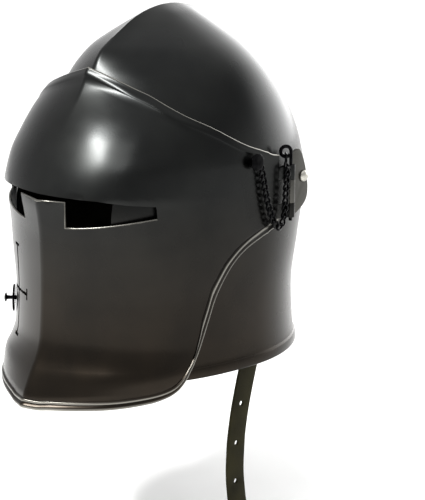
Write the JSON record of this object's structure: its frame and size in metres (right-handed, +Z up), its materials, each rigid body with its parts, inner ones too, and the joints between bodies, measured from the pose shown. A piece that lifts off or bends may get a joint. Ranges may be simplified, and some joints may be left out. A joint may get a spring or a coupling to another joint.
{
  "type": "visored barbute helmet",
  "caption": "Deep keeled steel helmet with a hinged face plate, sight slits, a cross-shaped breath, keeper chains on the hinge pins and a leather chin strap.",
  "frame": {"origin": "the inside of the crown, where the helmet bears on the head", "axes": "+Z up, the face looks along -Y, +X is the wearer's left"},
  "size_m": [0.2342, 0.2895, 0.4249],
  "materials": {
    "blackened_steel": "satin blackened steel with a warm cast",
    "bare_steel": "bright worn steel",
    "dark_steel": "dark oiled steel",
    "leather": "dark olive-brown vegetable-tanned strap"
  },
  "bodies": {
    "helmet": {"skull": "blackened_steel", "pivot_rivet_left": "bare_steel", "pivot_rivet_right": "bare_steel", "chin_strap": "leather", "buckle_strap": "leather", "buckle": "dark_steel", "strap_stud_left": "dark_steel", "strap_stud_right": "dark_steel"},
    "visor": {"visor": "blackened_steel", "pivot_arm_left": "blackened_steel", "pivot_arm_right": "blackened_steel", "hinge_pin_left": "dark_steel", "hinge_pin_right": "dark_steel", "chain_post_left": "dark_steel", "chain_post_right": "dark_steel", "chain_left": "dark_steel", "chain_right": "dark_steel", "lift_peg": "dark_steel", "lift_peg_washer": "dark_steel"}
  },
  "joints": [
    {"name": "visor_lift", "type": "hinge", "parent": "helmet", "child": "visor", "pos_m": [0, 0.0422, -0.1332], "axis": [-1, 0, 0], "range_deg": [0, 70]}
  ]
}
